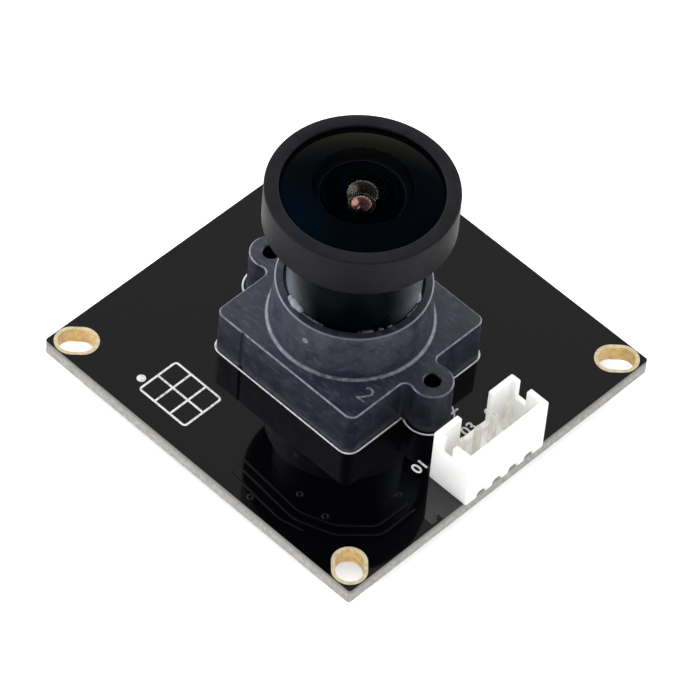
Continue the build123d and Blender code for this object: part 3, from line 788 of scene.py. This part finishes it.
def barrel_black():
    """Black anodising, with a pale smear on the left and a thinner one on the right: partly clouded glue,
    partly a painted reflection that fades upward into the ring's shade.
    """
    finish = Finish("barrel_black", (0.0006, 0.0006, 0.001), 0.3)
    finish.set("IOR", 1.1)
    axes = finish.axes()
    # Pale smears where the neck turns away on the left and right: partly clouded glue, partly a painted
    # reflection of the bright tent, fading upward where the ring shades the neck.
    turn = finish.math("ARCTAN2", finish.both(axes["Y"], -1), finish.both(axes["X"], -1))
    left = finish.near(turn, math.radians(-28), math.radians(2), math.radians(42))
    right = finish.near(turn, math.radians(112), math.radians(4), math.radians(42))
    fading = finish.range(axes["Z"], joint_height, ring_low.z, 1, 0.25)
    left = finish.both(left, fading)
    glue_haze_and_reflection = finish.either(finish.both(left, 0.5), finish.both(right, 0.34))
    glue_haze_and_reflection = finish.both(glue_haze_and_reflection, finish.either(left, right))
    glue_haze_and_reflection = finish.both(glue_haze_and_reflection, finish.cloud(2 * mm, 0.75, 1, 2))
    finish.colour(finish.blend(glue_haze_and_reflection, (0.0005, 0.001, 0.0018), (0.4, 0.44, 0.5)))
    finish.roughness(finish.cloud(0.3 * mm, 0.2, 0.3, 3, (1, 1, 6)))
    return finish


def matt_black():
    """Dead black: soot-like, with no shine at all."""
    finish = Finish("matt_black", (0.0012, 0.0012, 0.0012), 0.9, specular=0.0)
    finish.mottle(0.3 * mm, (0.0008, 0.0008, 0.0008), (0.002, 0.002, 0.002))
    return finish


fit(lens_barrel, barrel_black())
inner_black = matt_black()
lens_barrel.data.materials.append(inner_black.material)
for face in lens_barrel.data.polygons:
    spot = face.center
    bored = math.hypot(spot.x, spot.y) < neck_r - 0.4 * mm and spot.z > barrel_low.z + 0.1 * mm
    if bored or spot.z > barrel_high.z - 0.03 * mm:
        face.material_index = 1
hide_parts("lens_barrel")

# Glue
# Hard glue that locks the barrel's thread: thin uneven beads that glint in the joint, and thick pale ones
# on the left and at the right edge, whose white is partly clouding of the glue and partly a painted
# reflection.
joint_r = 6.15 * mm


def glue_drops(name, drops):
    """Drops of glue, each an angle, a height, a radius and how far out it lies, run into one."""
    balls = []
    for angle, height, radius, out in drops:
        turn = math.radians(angle)
        bpy.ops.object.select_all(action="DESELECT")
        bpy.ops.mesh.primitive_ico_sphere_add(
            subdivisions=3, radius=radius, location=(out * math.cos(turn), out * math.sin(turn), height)
        )
        balls.append(bpy.context.object)
    piece = join(name, balls)
    bpy.ops.object.transform_apply(location=True, rotation=True, scale=True)
    for kind, settings in (
        ("REMESH", {"mode": "VOXEL", "voxel_size": 0.03 * mm}),
        ("SMOOTH", {"factor": 0.8, "iterations": 20}),
    ):
        bpy.ops.object.modifier_add(type=kind)
        for key, value in settings.items():
            setattr(piece.modifiers[-1], key, value)
        bpy.ops.object.modifier_apply(modifier=piece.modifiers[-1].name)
    bpy.ops.object.shade_smooth()
    return piece


def bead(start, sweep, radius, height=joint_height, out=joint_r):
    """The drops of an uneven bead along the joint, thinner at its ends."""
    drops = []
    for step in range(int(sweep) + 1):
        swell = 0.5 + 0.5 * math.sin(math.pi * (step + 1) / (sweep + 2)) + 0.08 * math.sin(0.9 * step)
        drops.append((start + step, height, radius * swell, out))
    return drops


clear_beads = [
    glue_drops("glue_bead", bead(228, 12, 0.18 * mm)),
    glue_drops("glue_bead", bead(245, 3, 0.15 * mm)),
    glue_drops("glue_bead", bead(253, 3, 0.14 * mm)),
    glue_drops("glue_bead", bead(-88, 16, 0.12 * mm)),
    glue_drops("glue_bead", bead(176, 22, 0.13 * mm)),
]
# The thick drops are pale: partly clouded glue, partly a painted reflection of the tent.
clouded_and_glare_drops = bead(159, 16, 0.42 * mm, joint_height + 0.05 * mm, 6.1 * mm)
edge_drops = bead(-70, 7, 0.24 * mm, joint_height + 0.1 * mm, 6.0 * mm)
edge_drops += bead(-67, 3, 0.2 * mm, joint_height + 0.6 * mm, 5.93 * mm)


def clear_glue():
    """Clear glue over black: nearly black itself, with a hard gloss."""
    finish = Finish("clear_glue", (0.02, 0.02, 0.023), 0.12, specular=0.8)
    finish.mottle(0.5 * mm, (0.006, 0.006, 0.008), (0.07, 0.07, 0.08), 2)
    finish.roughness(finish.cloud(0.3 * mm, 0.08, 0.2))
    return finish


def fogged_glue():
    """Glue whitened, partly clouded by its own fumes and partly a painted reflection."""
    finish = Finish("fogged_glue", (0.2, 0.21, 0.25), 0.35)
    finish.mottle(0.5 * mm, (0.14, 0.155, 0.19), (0.26, 0.28, 0.33))
    finish.roughness(finish.cloud(0.3 * mm, 0.25, 0.5))
    return finish


beads = fit(join("clear_glue_beads", clear_beads), clear_glue())
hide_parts("thread_lock_glue")
fogged = [glue_drops("fogged_glue_drop", drops) for drops in (clouded_and_glare_drops, edge_drops)]
fit(join("fogged_glue_drops", fogged), fogged_glue())

# Front glass
# The large first element: a smooth coated dome outside and a small deep hollow behind. Its flat back
# is painted black round the hollow. Beyond painted_r the dome shows only that paint, and inside it
# the hollow shows like a dark window.
front_r = front_high.x
dome_r = lip_r - 0.05 * mm
hollow_r = 3.5 * mm
hollow_depth = 2.3 * mm
hollow_bevel = 0.07 * mm
painted_r = 4.5 * mm


def cap(edge_r, level, rise, steps=28):
    """The profile of a spherical cap, from its edge at the given level to the axis."""
    sphere_r = (edge_r ** 2 + rise ** 2) / (2 * abs(rise))
    half_angle = math.asin(edge_r / sphere_r)
    points = []
    for step in range(steps + 1):
        angle = half_angle * (1 - step / steps)
        height = sphere_r * (math.cos(angle) - math.cos(half_angle))
        points.append((sphere_r * math.sin(angle), level + math.copysign(height, rise)))
    return points


def glass_piece(name, edge_r, low, high, lower_cap, upper_cap, bevel=0.0):
    """A lens element: a disc with a cap above and a hollow below, whose edge may be ground off."""
    upper = cap(upper_cap[0], high, upper_cap[1])
    lower = cap(lower_cap[0], low + bevel, lower_cap[1] - bevel)
    rim = [(edge_r, high), (edge_r, low)]
    if bevel:
        rim.append((lower[0][0] + bevel, low))
    piece = turned_piece(name, upper[::-1] + rim + lower, False)
    bpy.ops.object.shade_smooth_by_angle(angle=math.radians(30))
    return piece


def coated_glass(name, thin, thick, transmission):
    """Dense glass, clear or with paint close behind it, under a film that hardly mirrors."""
    finish = Finish(name, thin, 0.0)
    finish.glass(1.8, (0.42, 0.62, 0.24), transmission)
    finish.set("Thin Film Thickness", 120)
    finish.set("Thin Film IOR", 1.38)
    finish.mottle(1.5 * mm, thin, thick)
    return finish


def olive_window():
    """The hollow's surface, under a coat that mirrors olive."""
    finish = Finish("olive_window", (0.96, 0.97, 0.95), 0.02)
    finish.glass(1.8, (0.3, 0.28, 0.17))
    finish.mottle(1.5 * mm, (0.95, 0.96, 0.93), (0.97, 0.975, 0.95))
    return finish


def back_paint():
    """Black paint on the flat back, seen through the glass."""
    finish = Finish("back_paint", (0.009, 0.013, 0.018), 0.8, specular=0.0)
    finish.mottle(1 * mm, (0.008, 0.0115, 0.016), (0.01, 0.0145, 0.02))
    return finish


def ground_edge():
    """Glass ground at an edge: grey and dull."""
    finish = Finish("ground_edge", (0.06, 0.066, 0.072), 0.35)
    finish.mottle(0.2 * mm, (0.05, 0.056, 0.06), (0.075, 0.082, 0.088))
    return finish


front_glass = glass_piece(
    "front_glass", front_r, front_low.z, lip_low,
    (hollow_r, hollow_depth), (dome_r, front_high.z - lip_low), hollow_bevel,
)
clear_glass = coated_glass("clear_glass", (0.96, 0.965, 0.975), (0.97, 0.98, 0.985), 1.0)
painted_glass = coated_glass("painted_glass", (0.0007, 0.0009, 0.0012), (0.001, 0.0013, 0.0017), 0.0)
fit(front_glass, clear_glass)
for finish in (back_paint(), ground_edge(), olive_window(), painted_glass):
    front_glass.data.materials.append(finish.material)
for face in front_glass.data.polygons:
    spot = face.center
    radius = math.hypot(spot.x, spot.y)
    above = spot.z > lip_low - 0.001 * mm and radius > hollow_r / 2
    if not above and (spot.z < front_low.z + 0.001 * mm or radius > hollow_r + hollow_bevel):
        face.material_index = 1
    elif not above and radius > hollow_r:
        face.material_index = 2
    elif not above and spot.z < front_high.z - 0.5 * mm:
        face.material_index = 3
    elif above and radius > painted_r:
        face.material_index = 4
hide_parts("front_element")

# Second glass
# A small meniscus against the barrel's shoulder, blackened at its edge. Its front mirrors olive and
# its back rose, and the glass behind it magenta.
meniscus_low, meniscus_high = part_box("meniscus_element")
meniscus_rise = 0.67 * mm
meniscus_clear_r = 3.38 * mm
meniscus_hollow_r = 2.68 * mm
meniscus_hollow_depth = 0.62 * mm


def olive_coated():
    """Clear glass under a coat that mirrors olive."""
    finish = Finish("olive_coated", (0.9, 0.9, 0.8), 0.02)
    finish.glass(1.75, (0.16, 0.145, 0.1))
    finish.mottle(1.5 * mm, (0.88, 0.88, 0.78), (0.92, 0.92, 0.84))
    return finish


def rose_coated():
    """The back of the second glass, under a coat that mirrors rose."""
    finish = Finish("rose_coated", (0.9, 0.9, 0.8), 0.025, specular=1.0)
    finish.glass(2.4, (1.0, 0.5, 0.45))
    finish.mottle(1.5 * mm, (0.88, 0.86, 0.8), (0.92, 0.9, 0.86))
    return finish


def magenta_coated():
    """Glass over the dark of the barrel, under a coat that mirrors magenta."""
    finish = Finish("magenta_coated", (0.004, 0.001, 0.0015), 0.04)
    finish.glass(2.5, (1.0, 0.35, 0.35), 0.0)
    finish.roughness(finish.cloud(1 * mm, 0.02, 0.06))
    return finish


shoulder = meniscus_high.z - meniscus_rise
second_glass = glass_piece(
    "second_glass", meniscus_high.x, meniscus_low.z, shoulder,
    (meniscus_hollow_r, meniscus_hollow_depth), (meniscus_clear_r, meniscus_rise),
)
fit(second_glass, olive_coated())
second_glass.data.materials.append(inner_black.material)
second_glass.data.materials.append(rose_coated().material)
for face in second_glass.data.polygons:
    radius = math.hypot(face.center.x, face.center.y)
    if face.center.z < shoulder + 0.001 * mm and radius > meniscus_hollow_r:
        face.material_index = 1
    elif face.center.z < shoulder:
        face.material_index = 2
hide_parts("meniscus_element")
dress("second_element", magenta_coated())

# Inner lens parts
# Spacers, stop and retaining ring are turned aluminium, blackened dull. The last two elements and
# the glass over the sensor are plain polished glass.


def polished_glass(name, tint, mirrored):
    """Polished glass with a faint coat."""
    finish = Finish(name, tint, 0.0)
    finish.glass(1.5, mirrored)
    finish.mottle(1 * mm, tint, tuple(0.97 * part for part in tint))
    return finish


for node in ("front_lens_spacer", "aperture_stop", "rear_lens_spacer", "rear_retaining_ring"):
    dress(node, inner_black)
inner_glass = polished_glass("inner_glass", (0.93, 0.95, 0.93), (0.5, 0.6, 0.5))
for node in ("third_element", "rear_element", "sensor_cover_glass"):
    dress(node, inner_glass)

# Infrared filter
# A square of coated glass, faintly cyan, that lies in the holder over the sensor and keeps infrared
# light from it.
dress("infrared_filter", polished_glass("filter_glass", (0.6, 0.85, 0.9), (1.0, 0.4, 0.4)))

# Sensor
# A sintered ceramic carrier, glued to the board, with a polished silicon die that shows a fine
# shimmer of colour.


def sensor_ceramic():
    """Dark grey ceramic, finely pitted."""
    finish = Finish("sensor_ceramic", (0.05, 0.048, 0.048), 0.55)
    finish.mottle(0.3 * mm, (0.04, 0.038, 0.038), (0.065, 0.062, 0.062))
    finish.bump(finish.noise(0.05 * mm, 2), 0.003 * mm)
    return finish


def sensor_silicon():
    """Polished silicon, a dark blue-grey with green and violet in places."""
    finish = Finish("sensor_silicon", (0.02, 0.025, 0.035), 0.12, specular=0.8)
    finish.mottle(1.5 * mm, (0.012, 0.028, 0.026), (0.03, 0.018, 0.042))
    finish.roughness(finish.cloud(0.5 * mm, 0.08, 0.16))
    return finish


dress("sensor_package", sensor_ceramic())
dress("sensor_die", sensor_silicon())

# Header
# One moulding in white nylon with softened edges, open above round its four pins. Its floor stands on
# the board.


def softened_copy(node, name, width):
    """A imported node's solid with its edges rounded."""
    bpy.ops.object.select_all(action="DESELECT")
    piece = bpy.data.objects.new(name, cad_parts[node].data.copy())
    bpy.context.collection.objects.link(piece)
    piece.select_set(True)
    bpy.context.view_layer.objects.active = piece
    bpy.ops.mesh.customdata_custom_splitnormals_clear()
    bpy.ops.object.mode_set(mode="EDIT")
    bpy.ops.mesh.select_all(action="SELECT")
    bpy.ops.mesh.remove_doubles(threshold=0.001 * mm)
    bpy.ops.mesh.dissolve_limited(angle_limit=math.radians(2))
    bpy.ops.object.mode_set(mode="OBJECT")
    round_edges(piece, width)
    return piece


def white_nylon():
    """White nylon: slightly translucent, a little warm inside."""
    finish = Finish("white_nylon", (0.96, 0.96, 0.95), 0.4)
    finish.mottle(1.2 * mm, (0.95, 0.95, 0.935), (0.975, 0.975, 0.965))
    finish.set("Subsurface Weight", 0.15)
    finish.set("Subsurface Radius", (1.0, 0.95, 0.85))
    finish.set("Subsurface Scale", 1 * mm)
    finish.bump(finish.noise(0.1 * mm, 2), 0.003 * mm)
    return finish


header_edge_r = 0.09 * mm
header = softened_copy("connector_housing", "header_moulding", header_edge_r)
fit(header, white_nylon())
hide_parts("connector_housing")

# Pins
# Four square pins of tinned brass, pressed into the header. They were drawn through a die, so fine
# lines run along them.


def pin_tin():
    """Tin plate, warm from the brass under it."""
    finish = Finish("pin_tin", (0.86, 0.84, 0.77), 0.4, metallic=0.6)
    lines = finish.cloud(0.12 * mm, 0, 1, 3, (1, 1, 0.15))
    finish.colour(finish.blend(lines, (0.8, 0.77, 0.68), (0.92, 0.9, 0.85)))
    finish.roughness(finish.cloud(0.2 * mm, 0.35, 0.5, 3, (1, 1, 0.3)))
    return finish


dress("connector_pins", pin_tin())

# Solder
# Tin alloy that froze where it wetted the pins, the leads and the ends of the small parts: bright and
# a little dimpled.


def solder(name, dull):
    """Bright frozen metal with a fine crystal grain."""
    finish = Finish(name, (0.72, 0.72, 0.7), 0.28, metallic=0.95)
    finish.mottle(0.25 * mm, (0.58, 0.57, 0.54), (0.8, 0.8, 0.79))
    finish.roughness(finish.cloud(0.15 * mm, dull - 0.08, dull + 0.1))
    finish.bump(finish.noise(0.12 * mm, 2), 0.006 * mm)
    return finish


dress("solder_joints", solder("solder", 0.28))
tinned = solder("tinned_ends", 0.36)
dress("chip_leads", tinned)
dress("component_ends", tinned)
dress("component_lands", gold_plating)

# Chips
# Black epoxy moulded round the silicon, with a sandy skin from the mould and a round dimple at the
# corner of the first lead.


def chip_moulding(name, dimple):
    """Sandy black epoxy; the dimple is the place of a smooth round mark and its radius."""
    x, y, radius = dimple
    finish = Finish(name, (0.02, 0.02, 0.021), 0.55)
    body = finish.blend(finish.cloud(0.25 * mm, 0, 1), (0.016, 0.016, 0.017), (0.027, 0.027, 0.028))
    mark = finish.range(finish.gap(x, y), radius, radius - 0.04 * mm)
    finish.colour(finish.blend(mark, body, (0.01, 0.01, 0.0105)))
    finish.roughness(finish.range(mark, 0, 1, 0.55, 0.25))
    finish.bump(finish.noise(0.06 * mm, 2), 0.006 * mm)
    return finish


def dimple_by_corner(node, margin, radius):
    """The place of a dimple inside a chip's corner."""
    low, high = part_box(node)
    return (low.x + margin, high.y - margin, radius)


for node, name, margin, dimple_r in (
    ("controller_chip", "controller_moulding", 0.9 * mm, 0.35 * mm),
    ("memory_chip", "memory_moulding", 0.8 * mm, 0.3 * mm),
    ("voltage_regulators", "regulator_moulding", 0.4 * mm, 0.15 * mm),
):
    dress(node, chip_moulding(name, dimple_by_corner(node, margin, dimple_r)))

# Crystal
# A nickel-plated steel can, rolled bright and a little brushed along its length, soldered flat to
# the back.


def crystal_metal():
    """Satin nickel with fine lines."""
    finish = Finish("crystal_metal", (0.62, 0.61, 0.58), 0.3, metallic=0.95)
    finish.mottle(0.6 * mm, (0.56, 0.55, 0.52), (0.68, 0.67, 0.65))
    finish.roughness(finish.cloud(0.1 * mm, 0.24, 0.4, 3, (0.1, 1, 1)))
    return finish


dress("clock_crystal", crystal_metal())

# Inductors and choke
# Ferrite pressed from powder and fired, dull and dark with a slight bloom. They are soldered by their
# ends.


def ferrite():
    """Dark fired ferrite."""
    finish = Finish("ferrite", (0.05, 0.05, 0.052), 0.6)
    finish.mottle(0.2 * mm, (0.035, 0.035, 0.037), (0.075, 0.074, 0.074))
    finish.bump(finish.noise(0.08 * mm, 3), 0.008 * mm)
    return finish


fired = ferrite()
dress("power_inductors", fired)
dress("common_mode_choke", fired)

# Capacitors
# Chips of many thin layers of tan ceramic, fired smooth into one and soldered by their ends.
# The ceramic keeps a faint mottle.


def capacitor_ceramic():
    """Tan ceramic with a faint mottle."""
    finish = Finish("capacitor_ceramic", (0.36, 0.25, 0.15), 0.4)
    finish.mottle(0.25 * mm, (0.3, 0.2, 0.12), (0.42, 0.3, 0.19))
    finish.roughness(finish.cloud(0.2 * mm, 0.34, 0.5))
    return finish


dress("capacitors", capacitor_ceramic())

# Resistors
# Chips of pale alumina, snapped from a plate, with a black glaze over the film on top. They show no
# number.


def resistor_film():
    """Black glaze on top; the pale alumina shows at the sides."""
    finish = Finish("resistor_film", (0.015, 0.015, 0.016), 0.25)
    side = finish.math("LESS_THAN", finish.slope(), 0.5)
    glaze = finish.blend(finish.cloud(0.2 * mm, 0, 1), (0.012, 0.012, 0.013), (0.022, 0.022, 0.023))
    finish.colour(finish.blend(side, glaze, (0.55, 0.54, 0.52)))
    finish.roughness(finish.range(side, 0, 1, 0.25, 0.6))
    return finish


dress("resistors", resistor_film())
